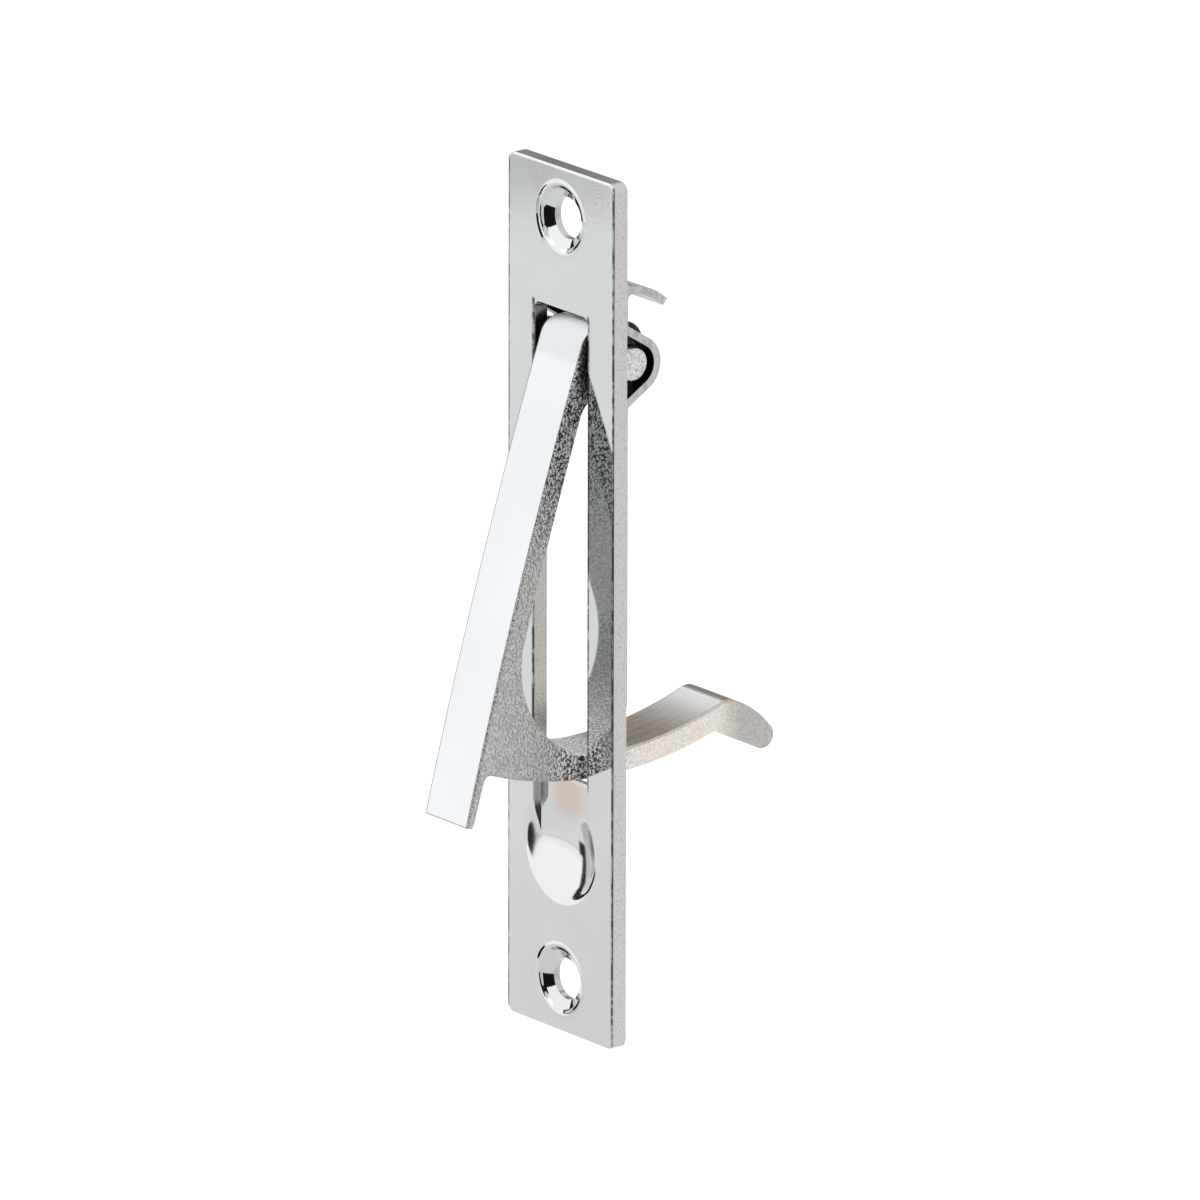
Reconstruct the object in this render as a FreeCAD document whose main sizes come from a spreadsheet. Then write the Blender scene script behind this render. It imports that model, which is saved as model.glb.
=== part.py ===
import FreeCAD, Part
import math
import os
import Sketcher

# Edge pull for a pocket door, in millimetres.
# The plate's back seats on the door's edge at y = 0, the front faces -Y and +Z is up.
# The origin lies midway between the two screw holes, on the seat face.

DIMENSIONS = (
    # Face plate
    ("plate_length", 98.4),
    ("plate_width", 19.05),
    ("plate_thick", 1.8),
    ("plate_corner_r", 1.1),
    ("plate_edge_ease", 0.25),
    ("screw_inset", 5.8),
    ("screw_hole_dia", 4.7),
    ("countersink_dia", 7.9),
    ("countersink_land", 0.8),
    ("countersink_rim_r", 0.8),
    # Slot, with the room it leaves above the pivot and below the sweep of the lever's arm
    ("slot_width", 9.5),
    ("slot_head_room", 5.1),
    ("slot_tail_room", 0.7),
    ("slot_corner_r", 0.9),
    ("slot_rim_ease", 0.15),
    # Finger scoop below the slot, and the shallow neck that joins the two
    ("scoop_inset", 21.1),
    ("scoop_depth", 1.52),
    ("scoop_flare", 1.95),
    ("neck_length", 7.8),
    ("neck_depth", 1.05),
    # Pivot pin
    ("pivot_inset", 21.1),
    ("pin_dia", 4.1),
    ("pin_end_inset", 0.55),
    ("pin_chamfer", 0.25),
    ("pin_seat_gap", 0.05),
    ("pin_bore_gap", 0.02),
    # Sheet strap that traps the pin behind the plate
    ("strap_thick", 0.9),
    ("strap_inset", 1.025),
    ("strap_bend_r", 0.5),
    ("strap_foot_rise", 9.3),
    ("strap_foot_r", 1.2),
    ("strap_foot_flat", 0.6),
    ("window_margin", 1.2),
    ("window_head_room", 5.4),
    ("window_corner_r", 1.5),
    ("knuckle_gap", 0.35),
    ("knuckle_flank", 32.0),
    ("strap_lip_rise", 8.15),
    ("strap_lip_r", 6.9),
    ("strap_lip_sweep", 43.8),
    # Pull lever, drawn about the pivot axis with the lever shut
    ("lever_side_gap", 0.85),
    ("lever_edge_ease", 0.22),
    ("face_proud", 0.2),
    ("face_crown", 0.65),
    ("bar_thick", 2.5),
    ("lip_length", 6.1),
    ("lip_thick", 0.93),
    ("lip_tip_r", 0.4),
    ("nose_top", 2.25),
    ("nose_r", 2.5),
    ("head_slope", 20.0),
    ("head_back", 4.2),
    ("head_drop", 4.3),
    ("head_corner_r", 2.75),
    ("head_foot_r", 3.6),
    ("head_web_r", 3.0),
    ("arm_thick", 2.65),
    ("arm_fillet_r", 11.5),
    ("notch_r", 0.8),
    ("tail_sweep", 34.9),
    ("crest_lead", 3.6),
    ("crest_r", 2.0),
    ("hook_bend", 44.1),
    ("hook_length", 6.9),
    ("hook_tip_r", 1.45),
    ("hook_crown_r", 13.3),
    ("hook_inner_r", 0.5),
    # How far the lever stands open
    ("open_angle", 17.0),
)

# Places that follow from the sizes: the plate's ends set the pivot, the scoop and so the arm.
PIVOT_Y = "(size.pin_seat_gap + size.pin_dia / 2)"
PIVOT_Z = "(size.plate_length / 2 - size.pivot_inset)"
SCREW_Z = "(size.plate_length / 2 - size.screw_inset)"
SCOOP_Z = "(size.scoop_inset - size.plate_length / 2)"
SLOT_TOP = f"({PIVOT_Z} + size.slot_head_room)"
SLOT_BOTTOM = f"({SCOOP_Z} + size.neck_length)"
HALF_SLOT = "(size.slot_width / 2)"
HALF_STRAP = "(size.plate_width / 2 - size.strap_inset)"
LEVER_WIDTH = "(size.slot_width - 2 * size.lever_side_gap)"
ARM_OUTER_R = f"({PIVOT_Z} - {SLOT_BOTTOM} - size.slot_tail_room)"

AXIS_X = FreeCAD.Vector(1, 0, 0)
AXIS_Y = FreeCAD.Vector(0, 1, 0)
ON_AXIS = "0"

doc = FreeCAD.newDocument("edge_pull")
sheet = doc.addObject("Spreadsheet::Sheet", "size")
for row, (alias, number) in enumerate(DIMENSIONS, start=1):
    sheet.set(f"A{row}", alias)
    sheet.set(f"B{row}", str(number))
    sheet.setAlias(f"B{row}", alias)
doc.recompute()


def value(expression):
    return float(sheet.evalExpression(expression))


def add_body(name):
    body = doc.addObject("PartDesign::Body", name)
    body.Label = name
    return body


def add_sketch(body, name, role):
    sketch = body.newObject("Sketcher::SketchObject", name)
    plane = next(item for item in body.Origin.OriginFeatures if item.Role == role)
    sketch.AttachmentSupport = (plane, [""])
    sketch.MapMode = "FlatFace"
    return sketch


def bind_constraint(sketch, constraint, expression):
    index = sketch.addConstraint(constraint)
    sketch.setExpression(f"Constraints[{index}]", expression)


def pin_point(sketch, edge, end, across, up):
    # A point on an axis is tied to that axis, any other gets its two bound distances.
    for kind, axis, expression in (("DistanceX", -2, across), ("DistanceY", -1, up)):
        if expression == ON_AXIS:
            sketch.addConstraint(Sketcher.Constraint("PointOnObject", edge, end, axis))
        else:
            datum = Sketcher.Constraint(kind, edge, end, value(expression))
            bind_constraint(sketch, datum, expression)


def arc_between(start, end, radius, turn):
    # turn is 1 where the arc runs anticlockwise from start to end, and -1 where it runs clockwise.
    chord = end - start
    side = FreeCAD.Vector(-chord.y, chord.x, 0).normalize() * turn
    centre = (start + end) * 0.5 + side * math.sqrt(radius**2 - (chord.Length / 2)**2)
    first, last = (start, end) if turn > 0 else (end, start)
    angles = [math.atan2(point.y - centre.y, point.x - centre.x) for point in (first, last)]
    return Part.ArcOfCircle(Part.Circle(centre, FreeCAD.Vector(0, 0, 1), radius), *angles)


def draw_outline(sketch, corners, arcs, smooth=()):
    # corners are pairs of expressions; arcs gives the radius and turn of the edge after a corner.
    # The edges that meet at a smooth corner are tangent, and a corner given as a vector is held
    # by its tangents alone.
    points = [corner if isinstance(corner, FreeCAD.Vector)
              else FreeCAD.Vector(value(corner[0]), value(corner[1]), 0) for corner in corners]
    ends = []
    for index, corner in enumerate(corners):
        start = points[index]
        end = points[(index + 1) % len(points)]
        if index in arcs:
            radius, turn = arcs[index]
            edge = sketch.addGeometry(arc_between(start, end, value(radius), turn), False)
            bind_constraint(sketch, Sketcher.Constraint("Radius", edge, value(radius)), radius)
            ends.append((edge, 1, 2) if turn > 0 else (edge, 2, 1))
        else:
            edge = sketch.addGeometry(Part.LineSegment(start, end), False)
            ends.append((edge, 1, 2))
        if not isinstance(corner, FreeCAD.Vector):
            pin_point(sketch, edge, ends[-1][1], *corner)
    for index, (edge, first, _) in enumerate(ends):
        before, _, last = ends[index - 1]
        kind = "Tangent" if index in smooth else "Coincident"
        sketch.addConstraint(Sketcher.Constraint(kind, before, last, edge, first))


def draw_rectangle(sketch, half_width, bottom, top):
    left = f"-({half_width})"
    draw_outline(sketch, [(left, bottom), (half_width, bottom), (half_width, top), (left, top)], {})


def add_pad(body, name, sketch, length, both_ways):
    pad = body.newObject("PartDesign::Pad", name)
    pad.Profile = sketch
    pad.SideType = "Symmetric" if both_ways else "One side"
    pad.setExpression("Length", length)
    doc.recompute()


def check_cut(body, before, name):
    if not body.Tip.Shape.Volume < before - 1e-6:
        raise RuntimeError(f"{name} cut nothing")


def add_pocket(body, name, sketch, depth=None, turned=False):
    before = body.Tip.Shape.Volume
    pocket = body.newObject("PartDesign::Pocket", name)
    pocket.Profile = sketch
    pocket.Reversed = turned
    if depth:
        pocket.setExpression("Length", depth)
    else:
        pocket.Type = "ThroughAll"
    doc.recompute()
    check_cut(body, before, name)


def add_groove(body, name, sketch, height):
    # The sketch turns about a line along Y at the given height.
    before = body.Tip.Shape.Volume
    level = value(height)
    line = Part.LineSegment(FreeCAD.Vector(-1, level, 0), FreeCAD.Vector(1, level, 0))
    axis = sketch.addGeometry(line, True)
    sketch.addConstraint(Sketcher.Constraint("Horizontal", axis))
    bind_constraint(sketch, Sketcher.Constraint("DistanceY", axis, 1, level), height)
    groove = body.newObject("PartDesign::Groove", name)
    groove.Profile = sketch
    groove.ReferenceAxis = (sketch, ["Axis0"])
    groove.Angle = 360
    doc.recompute()
    check_cut(body, before, name)


def edges_along(shape, direction, places):
    # Names of the straight edges that run in a direction through the given places.
    names = []
    for number, edge in enumerate(shape.Edges, start=1):
        if len(edge.Vertexes) < 2:
            continue
        start, end = (vertex.Point for vertex in edge.Vertexes)
        run = end - start
        if run.Length < 1e-6 or run.normalize().cross(direction).Length > 1e-6:
            continue
        if any((start - place).cross(direction).Length < 1e-4 for place in places):
            names.append(f"Edge{number}")
    return names


def add_fillet(body, name, edges, radius):
    base = body.Tip
    fillet = body.newObject("PartDesign::Fillet", name)
    fillet.Base = (base, edges)
    fillet.setExpression("Radius", radius)
    doc.recompute()


def add_chamfer(body, name, edges, width):
    base = body.Tip
    chamfer = body.newObject("PartDesign::Chamfer", name)
    chamfer.Base = (base, edges)
    chamfer.setExpression("Size", width)
    doc.recompute()


def round_corners(body, name, direction, corners, radius):
    # corners are pairs of expressions in the sketch plane that the direction is normal to.
    places = []
    for across, up in corners:
        if direction.isEqual(AXIS_X, 1e-9):
            places.append(FreeCAD.Vector(0, value(across), value(up)))
        else:
            places.append(FreeCAD.Vector(value(across), 0, value(up)))
    add_fillet(body, name, edges_along(body.Tip.Shape, direction, places), radius)


def rectangle_corners(half_width, bottom, top):
    return [(side, height) for side in (half_width, f"-({half_width})") for height in (bottom, top)]


def ease_front_edges(body, name, reach, bottom, top, radius):
    # Rounds the edges of the plate's front face inside a window about the middle line.
    shape = body.Tip.Shape
    face_y = -value("size.plate_thick")
    edges = []
    for number, edge in enumerate(shape.Edges, start=1):
        middle = edge.valueAt((edge.FirstParameter + edge.LastParameter) / 2)
        points = [middle] + [vertex.Point for vertex in edge.Vertexes]
        on_face = all(abs(point.y - face_y) < 1e-6 for point in points)
        in_height = value(bottom) - 1e-6 < middle.z < value(top) + 1e-6
        if on_face and in_height and abs(middle.x) < value(reach) + 1e-6:
            edges.append(f"Edge{number}")
    add_fillet(body, name, edges, radius)


def make_face_plate():
    body = add_body("face_plate")
    half_width = "size.plate_width / 2"
    half_length = "size.plate_length / 2"
    blank = add_sketch(body, "plate_blank", "XZ_Plane")
    draw_rectangle(blank, half_width, f"-{half_length}", half_length)
    add_pad(body, "plate_pad", blank, "size.plate_thick", both_ways=False)
    corners = rectangle_corners(half_width, f"-{half_length}", half_length)
    round_corners(body, "plate_corners", AXIS_Y, corners, "size.plate_corner_r")
    ease_front_edges(body, "plate_border", half_width, f"-{half_length}", half_length,
                     "size.plate_edge_ease")

    # A shallow neck carries the slot on down to the middle of the scoop.
    slot = add_sketch(body, "slot_outline", "XZ_Plane")
    draw_rectangle(slot, HALF_SLOT, SLOT_BOTTOM, SLOT_TOP)
    add_pocket(body, "slot_cut", slot, turned=True)
    neck = add_sketch(body, "neck_outline", "XZ_Plane")
    neck.setExpression("AttachmentOffset.Base.z", "size.plate_thick")
    draw_rectangle(neck, HALF_SLOT, SCOOP_Z, f"{SLOT_BOTTOM} + size.slot_corner_r")
    add_pocket(body, "neck_cut", neck, "size.neck_depth")
    corners = rectangle_corners(HALF_SLOT, SLOT_BOTTOM, SLOT_TOP)
    corners += rectangle_corners(HALF_SLOT, SCOOP_Z, SCOOP_Z)
    round_corners(body, "slot_corners", AXIS_Y, corners, "size.slot_corner_r")
    ease_front_edges(body, "slot_rim", HALF_SLOT, SCOOP_Z, SLOT_TOP, "size.slot_rim_ease")

    front = "-size.plate_thick"
    sink = "size.countersink_dia / 2"
    for name, height in (("upper", SCREW_Z), ("lower", f"-{SCREW_Z}")):
        profile = add_sketch(body, f"{name}_screw_profile", "YZ_Plane")
        hole = f"{height} + size.screw_hole_dia / 2"
        draw_outline(profile, [
            (ON_AXIS, height),
            (ON_AXIS, hole),
            ("-size.countersink_land", hole),
            (front, f"{height} + {sink}"),
            (front, height),
        ], {})
        add_groove(body, f"{name}_screw_hole", profile, height)
        ease_front_edges(body, f"{name}_screw_rim", sink, f"{height} - {sink}", f"{height} + {sink}",
                         "size.countersink_rim_r")

    # The scoop has a dished floor as wide as the slot and a rim that rolls over into the face.
    rise = "(size.scoop_depth - size.neck_depth)"
    floor_r = f"({HALF_SLOT}^2 + {rise}^2) / (2 * {rise})"
    flare_r = "(size.scoop_flare^2 + size.neck_depth^2) / (2 * size.neck_depth)"
    dish = add_sketch(body, "scoop_profile", "YZ_Plane")
    draw_outline(dish, [
        (front, SCOOP_Z),
        (f"{front} + size.scoop_depth", SCOOP_Z),
        (f"{front} + size.neck_depth", f"{SCOOP_Z} + {HALF_SLOT}"),
        (front, f"{SCOOP_Z} + {HALF_SLOT} + size.scoop_flare"),
    ], {1: (floor_r, 1), 2: (flare_r, -1)})
    add_groove(body, "scoop_dish", dish, SCOOP_Z)
    return body


def make_pivot_strap():
    body = add_body("pivot_strap")
    sheet_t = "size.strap_thick"
    inner_r = "(size.pin_dia / 2 + size.knuckle_gap)"
    outer_r = f"({inner_r} + {sheet_t})"
    flank_sin = "sin(size.knuckle_flank)"
    flank_cos = "cos(size.knuckle_flank)"
    inner_foot = f"({inner_r} + {PIVOT_Y} * {flank_sin}) / {flank_cos}"
    outer_foot = f"({outer_r} + ({PIVOT_Y} - {sheet_t}) * {flank_sin}) / {flank_cos}"
    foot = f"({SLOT_BOTTOM} + size.strap_foot_rise)"
    lip_under = f"({PIVOT_Z} + size.strap_lip_rise)"
    lip_r = "size.strap_lip_r"
    lip_top_r = f"({lip_r} + {sheet_t})"
    lip_sin = "sin(size.strap_lip_sweep)"
    lip_cos = "cos(size.strap_lip_sweep)"

    below_inner = (ON_AXIS, f"{PIVOT_Z} - {inner_foot}")
    above_inner = (ON_AXIS, f"{PIVOT_Z} + {inner_foot}")
    lip_heel = (ON_AXIS, f"{lip_under} + {sheet_t}")
    lip_root = (sheet_t, lip_under)
    above_outer = (sheet_t, f"{PIVOT_Z} + {outer_foot}")
    below_outer = (sheet_t, f"{PIVOT_Z} - {outer_foot}")
    profile = add_sketch(body, "strap_profile", "YZ_Plane")
    draw_outline(profile, [
        (ON_AXIS, foot),
        below_inner,
        (f"{PIVOT_Y} + {inner_r} * {flank_sin}", f"{PIVOT_Z} - {inner_r} * {flank_cos}"),
        (f"{PIVOT_Y} + {inner_r} * {flank_sin}", f"{PIVOT_Z} + {inner_r} * {flank_cos}"),
        above_inner,
        lip_heel,
        (sheet_t, f"{lip_under} + {sheet_t}"),
        (f"{sheet_t} + {lip_top_r} * {lip_sin}", f"{lip_under} - {lip_r} + {lip_top_r} * {lip_cos}"),
        (f"{sheet_t} + {lip_r} * {lip_sin}", f"{lip_under} - {lip_r} + {lip_r} * {lip_cos}"),
        lip_root,
        above_outer,
        (f"{PIVOT_Y} + {outer_r} * {flank_sin}", f"{PIVOT_Z} + {outer_r} * {flank_cos}"),
        (f"{PIVOT_Y} + {outer_r} * {flank_sin}", f"{PIVOT_Z} - {outer_r} * {flank_cos}"),
        below_outer,
        (sheet_t, foot),
    ], {2: (inner_r, 1), 6: (lip_top_r, -1), 8: (lip_r, 1), 11: (outer_r, -1)})
    add_pad(body, "strap_pad", profile, f"2 * {HALF_STRAP}", both_ways=True)
    outside_bends = [below_inner, above_inner, lip_heel]
    round_corners(body, "outside_bends", AXIS_X, outside_bends, f"size.strap_bend_r + {sheet_t}")
    inside_bends = [below_outer, above_outer, lip_root]
    round_corners(body, "inside_bends", AXIS_X, inside_bends, "size.strap_bend_r")

    # The window lets the lever's head turn between the two humps and opens downwards.
    half_window = f"({HALF_SLOT} + size.window_margin)"
    window_top = f"({PIVOT_Z} + size.window_head_room)"
    window = add_sketch(body, "strap_window", "XZ_Plane")
    draw_rectangle(window, half_window, f"{foot} - {sheet_t}", window_top)
    add_pocket(body, "strap_window_cut", window)
    top_corners = [(half_window, window_top), (f"-{half_window}", window_top)]
    round_corners(body, "window_corners", AXIS_Y, top_corners, "size.window_corner_r")
    feet = [(f"{sign}{half}", foot) for sign in ("", "-") for half in (half_window, HALF_STRAP)]
    foot_r = f"min(size.strap_foot_r; ({HALF_STRAP} - {half_window} - size.strap_foot_flat) / 2)"
    round_corners(body, "strap_feet", AXIS_Y, feet, foot_r)
    return body


def place_on_pivot(body):
    # The lever swings about X, its lower end forward as it opens.
    body.Placement = FreeCAD.Placement(
        FreeCAD.Vector(0, value(PIVOT_Y), value(PIVOT_Z)),
        FreeCAD.Rotation(-AXIS_X, value("size.open_angle")))
    body.setExpression("Placement.Base.y", PIVOT_Y)
    body.setExpression("Placement.Base.z", PIVOT_Z)
    body.setExpression("Placement.Rotation.Angle", "size.open_angle")


def make_pivot_pin():
    body = add_body("pivot_pin")
    circle = add_sketch(body, "pin_circle", "YZ_Plane")
    radius = value("size.pin_dia / 2")
    edge = circle.addGeometry(Part.Circle(FreeCAD.Vector(), FreeCAD.Vector(0, 0, 1), radius), False)
    circle.addConstraint(Sketcher.Constraint("Coincident", edge, 3, -1, 1))
    bind_constraint(circle, Sketcher.Constraint("Diameter", edge, 2 * radius), "size.pin_dia")
    add_pad(body, "pin_pad", circle, f"2 * ({HALF_STRAP} - size.pin_end_inset)", both_ways=True)
    edges = enumerate(body.Tip.Shape.Edges, start=1)
    rims = [f"Edge{number}" for number, edge in edges if edge.isClosed()]
    add_chamfer(body, "pin_ends", rims, "size.pin_chamfer")
    place_on_pivot(body)
    return body


def touch_point(start, middle, small, large):
    # Where a large arc that leaves the start meets a small circle that it holds and touches.
    begin, centre = (FreeCAD.Vector(value(across), value(up), 0) for across, up in (start, middle))
    back = begin - centre
    spread = value(large) - value(small)
    along = (spread**2 - value(large)**2 + back.Length**2) / (2 * back.Length)
    side = FreeCAD.Vector(-back.y, back.x, 0).normalize() * math.sqrt(spread**2 - along**2)
    to_large = back.normalize() * along + side
    return centre - to_large.normalize() * value(small)


def make_pull_lever():
    body = add_body("pull_lever")
    # The face is an arc that stands proud of its own chord by the crown.
    face = f"(size.plate_thick + {PIVOT_Y} + size.face_proud)"
    reach = f"({ARM_OUTER_R} + size.lip_length)"
    half_face = f"((size.nose_top + {reach}) / 2)"
    face_mid = f"((size.nose_top - {reach}) / 2)"
    face_r = f"(({half_face}^2 + size.face_crown^2) / (2 * size.face_crown))"
    back_r = f"({face_r} - size.bar_thick)"
    inner_r = f"({ARM_OUTER_R} - size.arm_thick)"

    def bar_back(height):
        return f"({face_r} - {face} - size.face_crown - sqrt({back_r}^2 - ({height} - {face_mid})^2))"

    tip = (f"-{face}", f"-{reach}")
    nose = (f"-{face}", "size.nose_top")
    head_corner = ("size.head_back",
                   f"size.nose_top + ({face} + size.head_back) * tan(size.head_slope)")
    head_foot = ("size.head_back", "-size.head_drop")
    head_web = (bar_back("-size.head_drop"), "-size.head_drop")
    arm_root_y = bar_back(f"-{inner_r}")
    arm_root = (arm_root_y, f"-sqrt({inner_r}^2 - {arm_root_y}^2)")
    crest_sweep = "(size.tail_sweep + size.crest_lead)"
    crest = (f"{inner_r} * sin({crest_sweep})", f"-{inner_r} * cos({crest_sweep})")
    bend = (f"{ARM_OUTER_R} * sin(size.tail_sweep)", f"-{ARM_OUTER_R} * cos(size.tail_sweep)")

    # The hook runs on from the bend at its own slope and ends in a round tip that the crown touches.
    slope = "(size.tail_sweep - size.hook_bend)"
    tip_low = (f"{bend[0]} + size.hook_length * cos({slope})",
               f"{bend[1]} + size.hook_length * sin({slope})")
    tip_mid = (f"{tip_low[0]} - size.hook_tip_r * sin({slope})",
               f"{tip_low[1]} + size.hook_tip_r * cos({slope})")
    tip_high = touch_point(crest, tip_mid, "size.hook_tip_r", "size.hook_crown_r")
    lip_y = f"(size.lip_thick - {face})"
    notch = (lip_y, f"-sqrt({ARM_OUTER_R}^2 - {lip_y}^2)")
    lip_tip = (lip_y, f"-{reach}")

    profile = add_sketch(body, "lever_profile", "YZ_Plane")
    draw_outline(profile, [
        tip, nose, head_corner, head_foot, head_web, arm_root,
        crest, tip_high, tip_low, bend, notch, lip_tip,
    ], {
        0: (face_r, -1),
        4: (back_r, 1),
        5: (inner_r, 1),
        6: ("size.hook_crown_r", -1),
        7: ("size.hook_tip_r", -1),
        9: (ARM_OUTER_R, -1),
    }, smooth=(7, 8))
    add_pad(body, "lever_pad", profile, LEVER_WIDTH, both_ways=True)
    for name, corner, radius in (
        ("arm_fillet", arm_root, "size.arm_fillet_r"),
        ("nose_round", nose, "size.nose_r"),
        ("head_corner_round", head_corner, "size.head_corner_r"),
        ("head_foot_round", head_foot, "size.head_foot_r"),
        ("head_web_fillet", head_web, "size.head_web_r"),
        ("crest_round", crest, "size.crest_r"),
        ("hook_fillet", bend, "size.hook_inner_r"),
        ("notch_fillet", notch, "size.notch_r"),
        ("lip_tip_round", lip_tip, "size.lip_tip_r"),
    ):
        round_corners(body, name, AXIS_X, [corner], radius)

    bore = add_sketch(body, "bore_circle", "YZ_Plane")
    diameter = "size.pin_dia + 2 * size.pin_bore_gap"
    ring = Part.Circle(FreeCAD.Vector(), FreeCAD.Vector(0, 0, 1), value(diameter) / 2)
    edge = bore.addGeometry(ring, False)
    bore.addConstraint(Sketcher.Constraint("Coincident", edge, 3, -1, 1))
    bind_constraint(bore, Sketcher.Constraint("Diameter", edge, value(diameter)), diameter)
    before = body.Tip.Shape.Volume
    pocket = body.newObject("PartDesign::Pocket", "pin_bore")
    pocket.Profile = bore
    pocket.SideType = "Symmetric"
    pocket.setExpression("Length", f"2 * {LEVER_WIDTH}")
    doc.recompute()
    check_cut(body, before, "pin_bore")

    # Both sides of the casting have their edges broken all round.
    side = value(LEVER_WIDTH) / 2
    faces = [f"Face{number}" for number, flat in enumerate(body.Tip.Shape.Faces, start=1)
             if abs(abs(flat.CenterOfMass.x) - side) < 1e-6]
    edges = set()
    for face_name in faces:
        outline = body.Tip.Shape.getElement(face_name).OuterWire
        for number, edge in enumerate(body.Tip.Shape.Edges, start=1):
            if any(edge.isSame(part) for part in outline.Edges):
                edges.add(f"Edge{number}")
    add_chamfer(body, "side_ease", sorted(edges), "size.lever_edge_ease")
    place_on_pivot(body)
    return body


bodies = [make_face_plate(), make_pivot_strap(), make_pivot_pin(), make_pull_lever()]
doc.recompute()

for item in doc.Objects:
    if "Invalid" in item.State or "Error" in item.State:
        raise RuntimeError(f"{item.Name} failed: {item.State}")
for body in bodies:
    if body.Shape.isNull() or not body.Shape.isValid() or len(body.Shape.Solids) != 1:
        raise RuntimeError(f"{body.Label} has no single valid solid")

os.makedirs("parts", exist_ok=True)
for body in bodies:
    body.Shape.exportStep(f"parts/{body.Label}.step")
    box = body.Shape.BoundBox
    print(body.Label, f"{body.Shape.Volume:.1f} mm3, Y {box.YMin:.2f}..{box.YMax:.2f},",
          f"Z {box.ZMin:.2f}..{box.ZMax:.2f}, X {box.XMin:.2f}..{box.XMax:.2f}")
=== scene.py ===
import bmesh
import bpy
import math
from mathutils import Matrix, Vector

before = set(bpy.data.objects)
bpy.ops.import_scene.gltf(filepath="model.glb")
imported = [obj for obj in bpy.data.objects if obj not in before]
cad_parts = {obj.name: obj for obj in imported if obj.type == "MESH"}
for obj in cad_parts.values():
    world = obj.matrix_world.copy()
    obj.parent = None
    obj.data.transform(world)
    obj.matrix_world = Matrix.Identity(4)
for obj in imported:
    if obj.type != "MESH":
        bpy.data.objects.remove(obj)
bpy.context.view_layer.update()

bpy.context.scene.view_settings.view_transform = "Standard"


# small helpers for the node trees

def startMaterial(name):
    material = bpy.data.materials.new(name)
    material.use_nodes = True
    material.node_tree.nodes.clear()
    return material, material.node_tree


def addNode(tree, kind, settings=None, inputs=None):
    node = tree.nodes.new(kind)
    for key, value in (settings or {}).items():
        setattr(node, key, value)
    for key, value in (inputs or {}).items():
        if isinstance(value, bpy.types.NodeSocket):
            tree.links.new(value, node.inputs[key])
        else:
            node.inputs[key].default_value = value
    return node


def addMath(tree, operation, first, second=0.0, clamp=False):
    node = addNode(tree, "ShaderNodeMath", {"operation": operation, "use_clamp": clamp},
                   {0: first, 1: second})
    return node.outputs[0]


def addTimes(tree, first, second):
    return addMath(tree, "MULTIPLY", first, second)


def addScaled(tree, start, value, amount):
    # start, plus amount times value
    return addMath(tree, "ADD", start, addTimes(tree, value, amount))


def addSize(tree, value):
    return addMath(tree, "ABSOLUTE", value)


def addLength(tree, first, second):
    # length of a flat arrow from its two parts
    squares = addMath(tree, "ADD", addTimes(tree, first, first), addTimes(tree, second, second))
    return addMath(tree, "SQRT", squares)


def addRange(tree, value, low, high, toLow=0.0, toHigh=1.0):
    node = addNode(tree, "ShaderNodeMapRange", {"interpolation_type": "SMOOTHSTEP"},
                   {"Value": value, "From Min": low, "From Max": high, "To Min": toLow, "To Max": toHigh})
    return node.outputs["Result"]


def addBand(tree, value, steps):
    # one between the two inner steps, nothing beyond the outer ones
    rise = addRange(tree, value, steps[0], steps[1])
    return addTimes(tree, rise, addRange(tree, value, steps[3], steps[2]))


def addMix(tree, factor, first, second, blend="MIX"):
    node = addNode(tree, "ShaderNodeMix", {"data_type": "RGBA", "blend_type": blend})
    for key, value in ((0, factor), (6, first), (7, second)):
        if isinstance(value, bpy.types.NodeSocket):
            tree.links.new(value, node.inputs[key])
        else:
            node.inputs[key].default_value = value
    return node.outputs[2]


def addShade(tree, mask, base, shade):
    # the base times the shade, where the mask is one
    return addMix(tree, mask, base, addMix(tree, 1.0, base, shade, "MULTIPLY"))


def addNoise(tree, place, scale, detail=2.0, roughness=0.5):
    node = addNode(tree, "ShaderNodeTexNoise", None,
                   {"Vector": place, "Scale": scale, "Detail": detail, "Roughness": roughness})
    return node.outputs["Fac"]


def addOffset(tree, place, spot):
    node = addNode(tree, "ShaderNodeVectorMath", {"operation": "SUBTRACT"}, {0: place, 1: spot})
    return node.outputs[0]


def addSpan(tree, place, spot):
    # distance from a spot
    node = addNode(tree, "ShaderNodeVectorMath", {"operation": "LENGTH"}, {0: addOffset(tree, place, spot)})
    return node.outputs["Value"]


def addReach(tree, place, spot, reach, fade):
    # one inside a ball round the spot, falling to nothing at its skin
    return addRange(tree, addSpan(tree, place, spot), reach, reach - fade)


def addStretch(tree, place, scale):
    return addNode(tree, "ShaderNodeMapping", None, {"Vector": place, "Scale": scale}).outputs[0]


def addLean(tree, factor, first, second):
    # blend of two directions
    node = addNode(tree, "ShaderNodeMix", {"data_type": "VECTOR"}, {0: factor, 4: first, 5: second})
    return node.outputs[1]


def addUnit(tree, direction):
    return addNode(tree, "ShaderNodeVectorMath", {"operation": "NORMALIZE"}, {0: direction}).outputs[0]


def addBump(tree, look, height, normal=None):
    inputs = {"Strength": look["strength"], "Distance": look["distance"], "Height": height}
    if normal is not None:
        inputs["Normal"] = normal
    return addNode(tree, "ShaderNodeBump", None, inputs).outputs[0]


def colour(grey):
    return (grey, grey, grey, 1.0)


def splitParts(tree, vector):
    return addNode(tree, "ShaderNodeSeparateXYZ", None, {0: vector}).outputs


def closeTree(tree, shader):
    out = addNode(tree, "ShaderNodeOutputMaterial")
    tree.links.new(shader.outputs[0], out.inputs[0])


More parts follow.
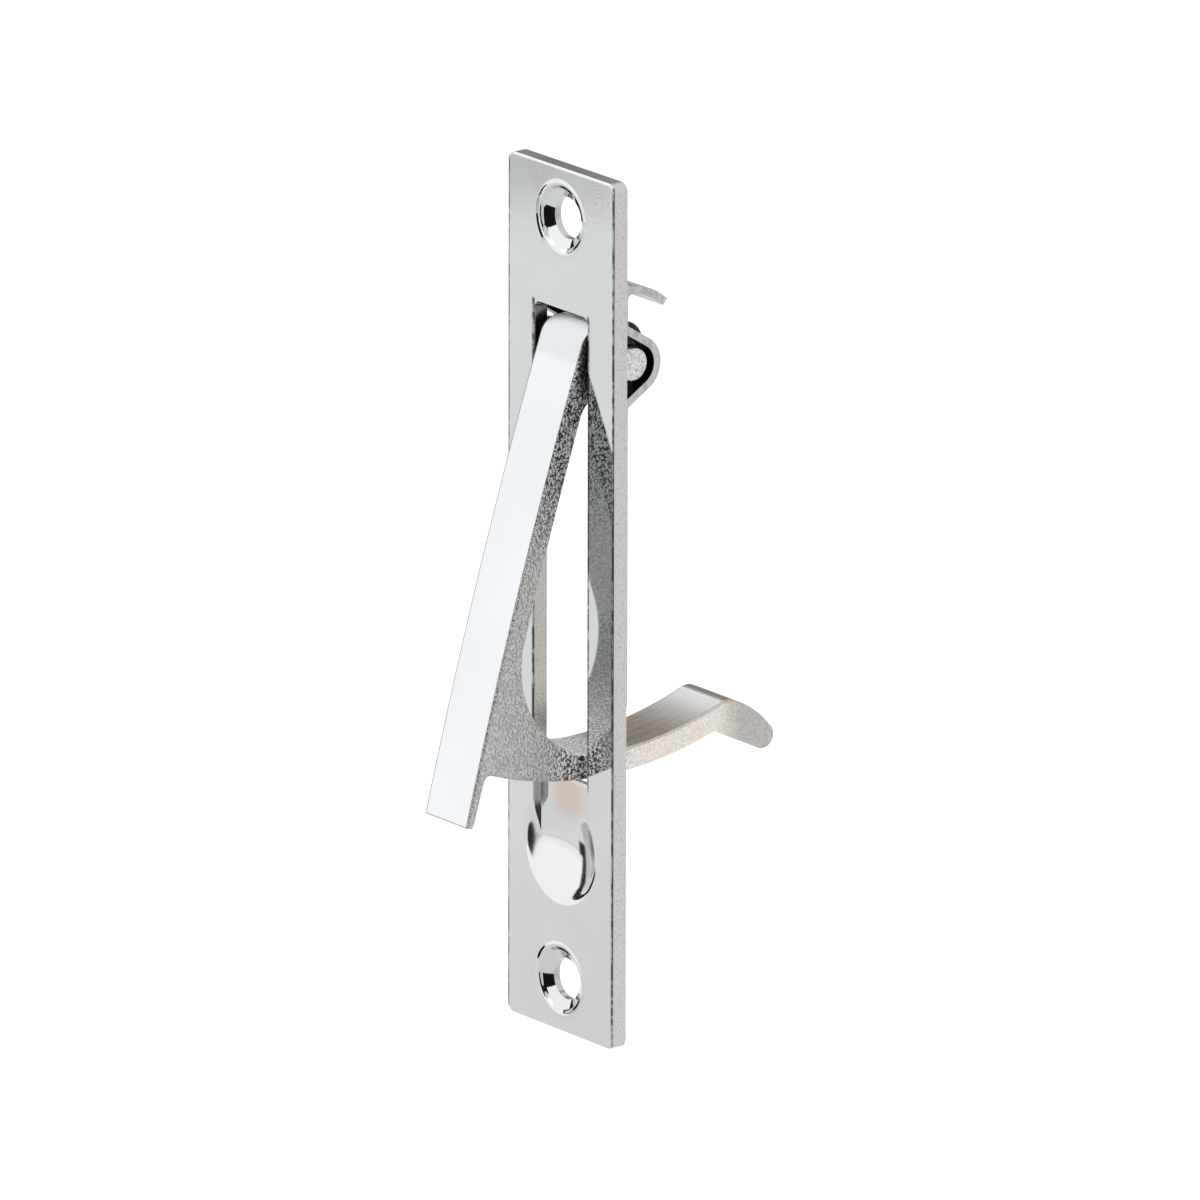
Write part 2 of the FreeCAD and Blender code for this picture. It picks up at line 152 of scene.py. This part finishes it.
def closeMetal(tree, base, rough, normal):
    shader = addNode(tree, "ShaderNodeBsdfPrincipled", None,
                     {"Base Color": base, "Metallic": 1.0, "Roughness": rough, "Normal": normal})
    closeTree(tree, shader)


# face plate: mirror chrome on the front, sheared edges a little duller, satin back

plateLook = {
    "bright": (0.555, 0.58, 0.587, 1.0),
    "deep": (0.522, 0.543, 0.549, 1.0),
    "cloudSpan": (0.3, 0.7),
    "lowShade": (1.035, 0.992, 1.003, 1.0),
    "lowFade": (0.01, -0.035),
    "frontFacing": (-0.1, -0.4),
    "backFacing": (0.3, 0.9),
    "edgeFacing": (0.9, 0.98),
    "edge": (0.62, 0.613, 0.60, 1.0),
    "edgeDull": (0.40, 0.394, 0.384, 1.0),
    "edgeSpecks": (0.54, 0.68),
    "endShade": 0.66,
    "slotWall": (0.0056, 0.0050),
    "slotShade": (0.83, 0.80, 0.77, 1.0),
    "polish": 0.03,
    "hazeRough": 0.02,
    "edgeRough": 0.16,
    "backRough": 0.34,
    # noises: scale, detail, roughness
    "cloud": (55.0, 3.0, 0.5),
    "haze": (900.0, 4.0, 0.6),
    "grain": (4600.0, 2.0, 0.7),
    "wander": (260.0, 2.0, 0.5),
    # painted reflection lines: start, full, full, end
    "edgeReflectionLine": (0.0091, 0.00921, 0.00942, 0.0095),
    "slotReflectionLine": (0.0046, 0.0047, 0.00506, 0.0052),
    "slotSpan": (-0.0208, -0.0204, 0.0333, 0.0337),
    "reflectionLineBreaks": (0.4, 0.56, 0.45, 1.0),
    "reflectionLineShade": 0.14,
    "ringTint": (0.50, 0.415, 0.34, 1.0),
    "ringBlend": 0.55,
    "ringSpots": ((-0.0036, -0.0018, 0.0481), (0.0062, -0.0018, 0.0466)),
    "ringReach": 0.0031,
    "ringFull": 0.55,
    "ringPitch": 0.00052,
    "ringWander": 0.0036,
    "ringCrest": (0.0, 0.9),
    "hollowFacing": (-0.02, -0.12),
    "scoopSpot": (0.0, -0.0018, -0.0281),
    "scoopReach": 0.0068,
    "scoopFade": 0.0012,
    "scoopLean": 0.14,
    "scoopRough": 0.07,
    "scoopCurve": 104.0,
    "bowlTop": (-0.0228, -0.0258),
    "sunkDepth": (-0.00175, -0.0013),
    "neckSpot": (0.0, -0.0018, -0.0222),
    "neckReach": 0.0062,
    "neckFade": 0.0014,
    "neckSoft": 0.0013,
    "neckSamples": 6,
    "neckLevel": (0.0, -1.0, 0.0),
    "neckEase": 0.75,
    "neckReflectionTint": (0.53, 0.445, 0.388, 1.0),
    "reflectionTintReach": 0.0041,
    "reflectionTintFade": 0.0026,
    "screwHeight": 0.0434,
    "rimRadius": 0.0039,
    "rimWidth": 0.00062,
    "rimBump": {"strength": 1.0, "distance": 0.00016},
    "ripple": {"strength": 0.04, "distance": 0.0004},
    "edgeBump": {"strength": 0.3, "distance": 0.0001},
}


def addBuffRings(tree, place, spot, wander):
    # wavy tan lines that the buffing wheel left round a spot
    reach = addSpan(tree, place, spot)
    distance = addScaled(tree, reach, wander, plateLook["ringWander"])
    wave = addMath(tree, "SINE", addTimes(tree, distance, math.tau / plateLook["ringPitch"]))
    line = addRange(tree, wave, *plateLook["ringCrest"])
    full = plateLook["ringReach"] * plateLook["ringFull"]
    return addTimes(tree, line, addRange(tree, reach, plateLook["ringReach"], full))


def addBowl(tree, spot):
    # which way the scoop faces: one smooth bowl whose floor leans up towards its lower rim
    across = addTimes(tree, spot[0], -plateLook["scoopCurve"])
    below = addMath(tree, "SUBTRACT", plateLook["scoopSpot"][2], spot[2])
    along = addScaled(tree, plateLook["scoopLean"], below, plateLook["scoopCurve"])
    bowl = addNode(tree, "ShaderNodeCombineXYZ", None, {0: across, 1: -1.0, 2: along})
    return addUnit(tree, bowl.outputs[0])


def addScrewRim(tree, spot):
    # rolled rim round each screw hole
    fromScrew = addMath(tree, "SUBTRACT", addSize(tree, spot[2]), plateLook["screwHeight"])
    span = addLength(tree, spot[0], fromScrew)
    offRim = addSize(tree, addMath(tree, "SUBTRACT", span, plateLook["rimRadius"]))
    return addRange(tree, offRim, plateLook["rimWidth"], 0.0)


def makePlateChrome():
    material, tree = startMaterial("plate_chrome")
    coords = addNode(tree, "ShaderNodeTexCoord")
    place = coords.outputs["Object"]
    spot = splitParts(tree, place)
    normal = splitParts(tree, coords.outputs["Normal"])
    outward = addSize(tree, spot[0])
    front = addRange(tree, normal[1], *plateLook["frontFacing"])
    back = addRange(tree, normal[1], *plateLook["backFacing"])
    ends = addRange(tree, addSize(tree, normal[2]), *plateLook["edgeFacing"])
    side = addMath(tree, "MAXIMUM", addRange(tree, addSize(tree, normal[0]), *plateLook["edgeFacing"]), ends)
    cloud = addNoise(tree, place, *plateLook["cloud"])
    haze = addNoise(tree, place, *plateLook["haze"])
    grain = addNoise(tree, place, *plateLook["grain"])
    wander = addNoise(tree, place, *plateLook["wander"])
    face = addMix(tree, addRange(tree, cloud, *plateLook["cloudSpan"]), plateLook["deep"],
                  plateLook["bright"])
    face = addShade(tree, addRange(tree, spot[2], *plateLook["lowFade"]), face, plateLook["lowShade"])
    rings = [addBuffRings(tree, place, ringSpot, wander) for ringSpot in plateLook["ringSpots"]]
    ring = addTimes(tree, addMath(tree, "MAXIMUM", rings[0], rings[1]), front)
    face = addMix(tree, addTimes(tree, ring, plateLook["ringBlend"]), face, plateLook["ringTint"])
    # painted dark reflection lines, broken, beside the long edges
    line = addTimes(tree, addBand(tree, outward, plateLook["slotReflectionLine"]),
                    addBand(tree, spot[2], plateLook["slotSpan"]))
    line = addMath(tree, "MAXIMUM", line, addBand(tree, outward, plateLook["edgeReflectionLine"]))
    line = addTimes(tree, addTimes(tree, line, front), addRange(tree, haze, *plateLook["reflectionLineBreaks"]))
    face = addShade(tree, line, face, colour(plateLook["reflectionLineShade"]))
    # the pressed scoop and its neck
    hollow = addRange(tree, normal[1], *plateLook["hollowFacing"])
    inScoop = addReach(tree, place, plateLook["scoopSpot"], plateLook["scoopReach"], plateLook["scoopFade"])
    inScoop = addTimes(tree, addTimes(tree, inScoop, hollow), addRange(tree, spot[2], *plateLook["bowlTop"]))
    sunk = addTimes(tree, addRange(tree, spot[1], *plateLook["sunkDepth"]), hollow)
    inNeck = addReach(tree, place, plateLook["neckSpot"], plateLook["neckReach"], plateLook["neckFade"])
    inNeck = addTimes(tree, inNeck, sunk)
    # painted warm reflection: a tan patch in the neck
    warmReflection = addReach(tree, place, plateLook["neckSpot"], plateLook["reflectionTintReach"], plateLook["reflectionTintFade"])
    face = addMix(tree, addTimes(tree, warmReflection, sunk), face, plateLook["neckReflectionTint"])
    # sheared edges, darker at the two ends and in the slot with painted shade
    edge = addMix(tree, addRange(tree, grain, *plateLook["edgeSpecks"]), plateLook["edge"],
                  plateLook["edgeDull"])
    edge = addShade(tree, ends, edge, colour(plateLook["endShade"]))
    inSlot = addTimes(tree, side, addRange(tree, outward, *plateLook["slotWall"]))
    edge = addShade(tree, inSlot, edge, plateLook["slotShade"])
    base = addMix(tree, side, face, edge)
    rough = addScaled(tree, plateLook["polish"], haze, plateLook["hazeRough"])
    rough = addScaled(tree, rough, side, plateLook["edgeRough"])
    rough = addScaled(tree, rough, inScoop, plateLook["scoopRough"])
    # the back is plated but not buffed
    rough = addScaled(tree, rough, back, plateLook["backRough"])
    soft = addNode(tree, "ShaderNodeBevel", {"samples": plateLook["neckSamples"]},
                   {"Radius": addTimes(tree, inNeck, plateLook["neckSoft"])})
    lean = addLean(tree, addTimes(tree, inNeck, plateLook["neckEase"]), soft.outputs[0],
                   plateLook["neckLevel"])
    lean = addUnit(tree, addLean(tree, inScoop, lean, addBowl(tree, spot)))
    lean = addBump(tree, plateLook["ripple"], cloud, lean)
    lean = addBump(tree, plateLook["rimBump"], addTimes(tree, addScrewRim(tree, spot), front), lean)
    lean = addBump(tree, plateLook["edgeBump"], addTimes(tree, grain, side), lean)
    closeMetal(tree, base, rough, lean)
    return material


# pull lever: polished face, grainy cast sides, tan tail, painted shade on the head

leverLook = {
    "face": (0.592, 0.607, 0.62, 1.0),
    "faceDeep": (0.565, 0.58, 0.592, 1.0),
    "faceFacing": (-0.15, -0.42),
    "sideFacing": (0.6, 0.3),
    "faceReflectionLine": (0.00353, 0.00361, 0.0039, 0.004),
    "lipReflectionLine": (-0.02195, -0.02215),
    "reflectionLineShade": 0.32,
    "noseRise": (0.0265, 0.0285),
    "noseDepth": (0.0020, 0.0008),
    "noseFacing": (0.2, 0.05),
    "noseLean": (0.0, -0.956, 0.292),
    "noseEase": 0.8,
    "cast": (0.52, 0.516, 0.506, 1.0),
    "castLitNear": (0.66, 0.66, 0.672, 1.0),
    "castShadedHigh": (0.40, 0.401, 0.406, 1.0),
    "nearPlate": (-0.0075, -0.003),
    "nearHead": (0.004, 0.018),
    "highSpan": (-0.002, 0.014),
    "tail": (0.84, 0.785, 0.735, 1.0),
    "tailStart": (0.0005, 0.006),
    "tailTopShade": (0.275, 0.236, 0.205, 1.0),
    "tailStreakShaded": (0.236, 0.201, 0.174, 1.0),
    "topFacing": (0.5, 0.9),
    "hook": (0.54, 0.512, 0.483, 1.0),
    "hookStart": (0.0165, 0.0205),
    "head": (0.03, 0.024, 0.019, 1.0),
    "headShadeMottled": (0.085, 0.072, 0.06, 1.0),
    "headRise": (0.0215, 0.0265),
    "headDepth": (-0.0028, -0.0012),
    "headCloud": 0.6,
    "headSpeck": 0.4,
    "headSpan": (0.46, 0.6),
    # noises: scale, detail, roughness
    "cloud": (70.0, 3.0, 0.5),
    "speck": (4000.0, 1.0, 0.5),
    "streak": (1.0, 2.0, 0.5),
    "streakScale": (1700.0, 70.0, 70.0),
    "cloudSpan": (0.3, 0.7),
    "streakSpan": (0.48, 0.66),
    "grainPlain": 0.24,
    "grainTail": 0.11,
    "grainNear": (0.3, 0.8, 0.7, 0.3),
    "pitSpan": (0.50, 0.43),
    "pitDepth": 0.96,
    "glintSpan": (0.53, 0.59),
    "glintLift": 0.6,
    "castRough": 0.26,
    "speckRough": 0.12,
    "faceRough": 0.05,
    "noseRough": 0.35,
    "tailRough": 0.14,
    "tailCalm": 0.35,
    "ripple": {"strength": 0.04, "distance": 0.0004},
    "castBump": {"strength": 0.6, "distance": 0.00022},
}


def makeLeverChrome():
    material, tree = startMaterial("lever_chrome")
    coords = addNode(tree, "ShaderNodeTexCoord")
    place = coords.outputs["Object"]
    spot = splitParts(tree, place)
    normal = splitParts(tree, coords.outputs["Normal"])
    cloud = addNoise(tree, place, *leverLook["cloud"])
    speck = addNoise(tree, place, *leverLook["speck"])
    # the polish stops at the chamfers, and goes on over the nose
    nose = addTimes(tree, addRange(tree, spot[2], *leverLook["noseRise"]),
                    addRange(tree, spot[1], *leverLook["noseDepth"]))
    nose = addTimes(tree, nose, addRange(tree, normal[1], *leverLook["noseFacing"]))
    face = addMath(tree, "MAXIMUM", addRange(tree, normal[1], *leverLook["faceFacing"]), nose)
    face = addTimes(tree, face, addRange(tree, addSize(tree, normal[0]), *leverLook["sideFacing"]))
    unpolished = addMath(tree, "SUBTRACT", 1.0, face)
    polished = addMix(tree, addRange(tree, cloud, *leverLook["cloudSpan"]), leverLook["faceDeep"],
                      leverLook["face"])
    # painted dark reflection lines along the face's edges and over the lip
    reflectionOutline = addMath(tree, "MAXIMUM", addBand(tree, addSize(tree, spot[0]), leverLook["faceReflectionLine"]),
                      addRange(tree, spot[2], *leverLook["lipReflectionLine"]))
    polished = addShade(tree, reflectionOutline, polished, colour(leverLook["reflectionLineShade"]))
    # the casting is grainier close to the plate and tan on the tail; painted light makes it paler close to
    # the plate, painted shade darker up by the head
    near = addMath(tree, "MAXIMUM", addRange(tree, spot[1], *leverLook["nearPlate"]),
                   addRange(tree, spot[2], *leverLook["nearHead"]))
    toTail = addRange(tree, spot[1], *leverLook["tailStart"])
    nearOnly = addMath(tree, "SUBTRACT", near, toTail, True)
    high = addRange(tree, spot[2], *leverLook["highSpan"])
    cast = addMix(tree, near, leverLook["cast"],
                  addMix(tree, high, leverLook["castLitNear"], leverLook["castShadedHigh"]))
    tail = addMix(tree, addRange(tree, spot[1], *leverLook["hookStart"]), leverLook["tail"],
                  leverLook["hook"])
    drawn = addStretch(tree, place, leverLook["streakScale"])
    streak = addRange(tree, addNoise(tree, drawn, *leverLook["streak"]), *leverLook["streakSpan"])
    # painted shade darkens the tail's top, with streaks along its length
    tailTopShade = addMix(tree, streak, leverLook["tailTopShade"], leverLook["tailStreakShaded"])
    tail = addMix(tree, addRange(tree, normal[2], *leverLook["topFacing"]), tail, tailTopShade)
    cast = addMix(tree, toTail, cast, tail)
    # salt and pepper grain of the plated casting: dark pits, and painted glints
    depth = addRange(tree, toTail, 0.0, 1.0, leverLook["grainPlain"], leverLook["grainTail"])
    depth = addScaled(tree, depth, nearOnly, addRange(tree, normal[2], *leverLook["grainNear"]))
    pits = addTimes(tree, addRange(tree, speck, *leverLook["pitSpan"]), leverLook["pitDepth"])
    glints = addTimes(tree, addRange(tree, speck, *leverLook["glintSpan"]), leverLook["glintLift"])
    sparkle = addScaled(tree, 1.0, addMath(tree, "SUBTRACT", glints, pits), depth)
    cast = addMix(tree, 1.0, cast, sparkle, "MULTIPLY")
    # painted shade on the head round the pivot
    headMask = addTimes(tree, addRange(tree, spot[2], *leverLook["headRise"]),
                        addRange(tree, spot[1], *leverLook["headDepth"]))
    headMottle = addScaled(tree, addTimes(tree, cloud, leverLook["headCloud"]), speck, leverLook["headSpeck"])
    paintedHeadShade = addMix(tree, addRange(tree, headMottle, *leverLook["headSpan"]), leverLook["head"],
                  leverLook["headShadeMottled"])
    cast = addMix(tree, headMask, cast, paintedHeadShade)
    base = addMix(tree, face, cast, polished)
    rough = addScaled(tree, leverLook["castRough"], speck, leverLook["speckRough"])
    rough = addScaled(tree, addTimes(tree, unpolished, rough), face, leverLook["faceRough"])
    rough = addScaled(tree, rough, nose, leverLook["noseRough"])
    rough = addScaled(tree, rough, toTail, leverLook["tailRough"])
    # the nose rolls over gently, so it mirrors the room in front like the face below it
    forward = addNode(tree, "ShaderNodeVectorTransform",
                      {"vector_type": "NORMAL", "convert_from": "OBJECT", "convert_to": "WORLD"},
                      {0: leverLook["noseLean"]})
    shape = addNode(tree, "ShaderNodeNewGeometry")
    ease = addTimes(tree, addTimes(tree, nose, face), leverLook["noseEase"])
    lean = addUnit(tree, addLean(tree, ease, shape.outputs["Normal"], forward.outputs[0]))
    lean = addBump(tree, leverLook["ripple"], cloud, lean)
    calm = addRange(tree, toTail, 0.0, 1.0, 1.0, leverLook["tailCalm"])
    height = addTimes(tree, addTimes(tree, speck, unpolished), calm)
    lean = addBump(tree, leverLook["castBump"], height, lean)
    closeMetal(tree, base, rough, lean)
    return material


# pivot strap and pin: satin plated sheet and wire, painted shade inside the humps

strapLook = {
    "light": (0.57, 0.568, 0.56, 1.0),
    "dull": (0.42, 0.415, 0.405, 1.0),
    "rollScale": (1400.0, 1400.0, 260.0),
    "grainScale": 2600.0,
    "inside": (0.025, 0.02, 0.016, 1.0),
    "pivot": (0.0, 0.0021, 0.0281),
    "hollowFacing": (-0.0004, -0.0012),
    "hollowReach": (0.0052, 0.0044),
    "inwardFacing": (-0.003, -0.005),
    "inwardReach": (0.008, 0.0065),
}

pinLook = {
    "light": (0.78, 0.78, 0.78, 1.0),
    "dull": (0.44, 0.435, 0.43, 1.0),
    "rollScale": (220.0, 3200.0, 3200.0),
    "grainScale": 3400.0,
}

# the finish that both share
satinLook = {
    # noises: scale, detail, roughness, where the grain's scale is each piece's own
    "roll": (1.0, 3.0, 0.6),
    "grain": (3.0, 0.7),
    "shadeSpan": (0.78, 1.12),
    "rough": 0.19,
    "grainRough": 0.14,
    "bump": {"strength": 0.35, "distance": 0.0001},
}


def addHumpInside(tree, coords):
    # faces that look at the pin, and the cut edges that look at the lever
    normal = splitParts(tree, coords.outputs["Normal"])
    arm = splitParts(tree, addOffset(tree, coords.outputs["Object"], strapLook["pivot"]))
    facing = addScaled(tree, addTimes(tree, arm[1], normal[1]), arm[2], normal[2])
    span = addLength(tree, arm[1], arm[2])
    hollow = addTimes(tree, addRange(tree, facing, *strapLook["hollowFacing"]),
                      addRange(tree, span, *strapLook["hollowReach"]))
    inward = addTimes(tree, addRange(tree, addTimes(tree, arm[0], normal[0]), *strapLook["inwardFacing"]),
                      addRange(tree, span, *strapLook["inwardReach"]))
    return addMath(tree, "MAXIMUM", hollow, inward)


def makeSatinPlating(name, look):
    material, tree = startMaterial(name)
    coords = addNode(tree, "ShaderNodeTexCoord")
    place = coords.outputs["Object"]
    roll = addNoise(tree, addStretch(tree, place, look["rollScale"]), *satinLook["roll"])
    grain = addNoise(tree, place, look["grainScale"], *satinLook["grain"])
    both = addMath(tree, "ADD", roll, grain)
    base = addMix(tree, addRange(tree, both, *satinLook["shadeSpan"]), look["dull"], look["light"])
    # painted shade on the faces inside the humps
    if "inside" in look:
        base = addMix(tree, addHumpInside(tree, coords), base, look["inside"])
    rough = addScaled(tree, satinLook["rough"], grain, satinLook["grainRough"])
    closeMetal(tree, base, rough, addBump(tree, satinLook["bump"], both))
    return material


def dress(nodeName, material):
    for slot in bpy.data.objects[nodeName].material_slots:
        slot.material = material


dress("face_plate", makePlateChrome())
dress("pull_lever", makeLeverChrome())
dress("pivot_strap", makeSatinPlating("strap_plating", strapLook))
dress("pivot_pin", makeSatinPlating("pin_plating", pinLook))
print("plating done")


# floor: pale sheet that reads white and keeps the shadow

floorLook = {
    "size": 4.0,
    "height": -0.13,
    "squares": 8,
    "paper": (0.8, 0.8, 0.8, 1.0),
    "fibre": (0.77, 0.77, 0.77, 1.0),
    "fibreNoise": (40.0, 4.0, 0.5),
    "whiteLift": 0.42,
    "metalLift": 0.27,
}


def makeFloor():
    mesh = bpy.data.meshes.new("floor")
    sheet = bmesh.new()
    bmesh.ops.create_grid(sheet, x_segments=floorLook["squares"], y_segments=floorLook["squares"],
                          size=floorLook["size"])
    bmesh.ops.translate(sheet, verts=sheet.verts, vec=(0.0, 0.0, floorLook["height"]))
    sheet.to_mesh(mesh)
    sheet.free()
    floor = bpy.data.objects.new("floor", mesh)
    bpy.context.scene.collection.objects.link(floor)
    material, tree = startMaterial("floor_paper")
    coords = addNode(tree, "ShaderNodeTexCoord")
    fibre = addNoise(tree, coords.outputs["Object"], *floorLook["fibreNoise"])
    tone = addMix(tree, fibre, floorLook["paper"], floorLook["fibre"])
    paper = addNode(tree, "ShaderNodeBsdfDiffuse", None, {"Color": tone})
    rays = addNode(tree, "ShaderNodeLightPath").outputs
    seen = addMath(tree, "MAXIMUM", rays["Is Camera Ray"], rays["Is Transmission Ray"])
    seen = addTimes(tree, seen, floorLook["whiteLift"])
    mirrored = addTimes(tree, rays["Is Glossy Ray"], floorLook["metalLift"])
    lift = addNode(tree, "ShaderNodeEmission", None, {"Strength": addMath(tree, "MAXIMUM", seen, mirrored)})
    closeTree(tree, addNode(tree, "ShaderNodeAddShader", None, {0: paper.outputs[0], 1: lift.outputs[0]}))
    mesh.materials.append(material)


makeFloor()


# studio cards: dark flags that only the polished metal sees, from one azimuth to another

cardLook = {
    "frontFlag": {"from": 4.0, "to": 41.0, "distance": 0.29, "low": -0.129, "high": 0.154, "shade": 0.012},
    "sideFlag": {"from": -86.0, "to": -74.0, "distance": 0.4, "low": -0.07, "high": 0.21, "shade": 0.012},
    "edgeFlag": {"from": -128.0, "to": -68.0, "distance": 0.4, "low": -0.129, "high": -0.07, "shade": 0.012},
    "backFlag": {"from": -145.0, "to": -112.0, "distance": 0.4, "low": 0.05, "high": 0.2, "shade": 0.24},
}

feltLook = {"steps": 8, "nap": (90.0, 3.0, 0.5), "napLift": 1.6}


def makeCard(name, look):
    mesh = bpy.data.meshes.new(name)
    card = bmesh.new()
    start = Vector((0.0, -look["distance"], look["low"]))
    turn = Matrix.Rotation(math.radians(look["from"]), 3, "Z")
    foot = card.verts.new(turn @ start)
    bmesh.ops.spin(card, geom=[foot], cent=(0.0, 0.0, 0.0), axis=(0.0, 0.0, 1.0),
                   angle=math.radians(look["to"] - look["from"]), steps=feltLook["steps"])
    raised = bmesh.ops.extrude_edge_only(card, edges=card.edges[:])
    top = [part for part in raised["geom"] if isinstance(part, bmesh.types.BMVert)]
    bmesh.ops.translate(card, verts=top, vec=(0.0, 0.0, look["high"] - look["low"]))
    card.to_mesh(mesh)
    card.free()
    flag = bpy.data.objects.new(name, mesh)
    bpy.context.scene.collection.objects.link(flag)
    flag.visible_camera = False
    flag.visible_diffuse = False
    flag.visible_shadow = False
    material, tree = startMaterial(name + "_felt")
    coords = addNode(tree, "ShaderNodeTexCoord")
    nap = addNoise(tree, coords.outputs["Object"], *feltLook["nap"])
    tone = addMix(tree, nap, colour(look["shade"]), colour(look["shade"] * feltLook["napLift"]))
    closeTree(tree, addNode(tree, "ShaderNodeBsdfDiffuse", None, {"Color": tone}))
    mesh.materials.append(material)


for cardName, look in cardLook.items():
    makeCard(cardName, look)
print("floor and cards done")


# world: even soft room, white where the camera and the metal see it

roomLook = {"level": 0.75, "white": 1.0}


def makeRoom():
    world = bpy.data.worlds.new("room")
    bpy.context.scene.world = world
    world.use_nodes = True
    tree = world.node_tree
    tree.nodes.clear()
    rays = addNode(tree, "ShaderNodeLightPath").outputs
    seen = addMath(tree, "MAXIMUM", rays["Is Camera Ray"], rays["Is Glossy Ray"])
    seen = addMath(tree, "MAXIMUM", seen, rays["Is Transmission Ray"])
    power = addScaled(tree, roomLook["level"], seen, roomLook["white"] - roomLook["level"])
    light = addNode(tree, "ShaderNodeBackground", None, {"Color": colour(1.0), "Strength": power})
    out = addNode(tree, "ShaderNodeOutputWorld")
    tree.links.new(light.outputs[0], out.inputs[0])


makeRoom()


# soft boxes

lampLook = {
    "leftBox": {"toward": (-0.628, -0.623, 0.466), "distance": 0.516, "size": (1.3, 0.8), "radiance": 0.42},
    "noseBox": {"toward": (-0.8, 0.08, 0.6), "distance": 0.6, "size": (0.45, 0.4), "radiance": 0.3},
    "topBox": {"toward": (0.1, -0.35, 0.93), "distance": 1.1, "size": (0.8, 0.8), "radiance": 0.4},
}

wattsPerArea = 4.0  # for a radiance of one


def makeSoftBox(name, look):
    data = bpy.data.lights.new(name, "AREA")
    data.shape = "RECTANGLE"
    data.size, data.size_y = look["size"]
    data.energy = look["radiance"] * wattsPerArea * data.size * data.size_y
    lamp = bpy.data.objects.new(name, data)
    bpy.context.scene.collection.objects.link(lamp)
    toward = Vector(look["toward"]).normalized()
    turn = toward.to_track_quat("Z", "Y").to_matrix().to_4x4()
    lamp.matrix_world = Matrix.Translation(toward * look["distance"]) @ turn


for lampName, look in lampLook.items():
    makeSoftBox(lampName, look)
print("room and lamps done")


# camera fitted to the plate's corners and holes

viewLook = {
    "azimuth": 52.296,
    "elevation": 16.381,
    "roll": -0.114,
    "distance": 2.2423,
    "lens": 614.7,
    "sensor": 36.0,
    "clip": (0.05, 30.0),
    "aim": (0.004341, 0.000205),
    "centre": (0.0, -0.0018, 0.0),
}


def makeCamera():
    az = math.radians(viewLook["azimuth"])
    el = math.radians(viewLook["elevation"])
    roll = math.radians(viewLook["roll"])
    back = Vector((math.sin(az) * math.cos(el), -math.cos(az) * math.cos(el), math.sin(el)))
    level = Vector((math.cos(az), math.sin(az), 0.0))
    rise = back.cross(level)
    right = level * math.cos(roll) - rise * math.sin(roll)
    up = level * math.sin(roll) + rise * math.cos(roll)
    spot = Vector(viewLook["centre"]) + right * viewLook["aim"][0] + up * viewLook["aim"][1]
    spot = spot + back * viewLook["distance"]
    data = bpy.data.cameras.new("camera")
    data.lens = viewLook["lens"]
    data.sensor_width = viewLook["sensor"]
    data.clip_start, data.clip_end = viewLook["clip"]
    camera = bpy.data.objects.new("camera", data)
    bpy.context.scene.collection.objects.link(camera)
    turn = Matrix((right, up, back)).transposed().to_4x4()
    camera.matrix_world = Matrix.Translation(spot) @ turn
    bpy.context.scene.camera = camera


makeCamera()
print("camera done")
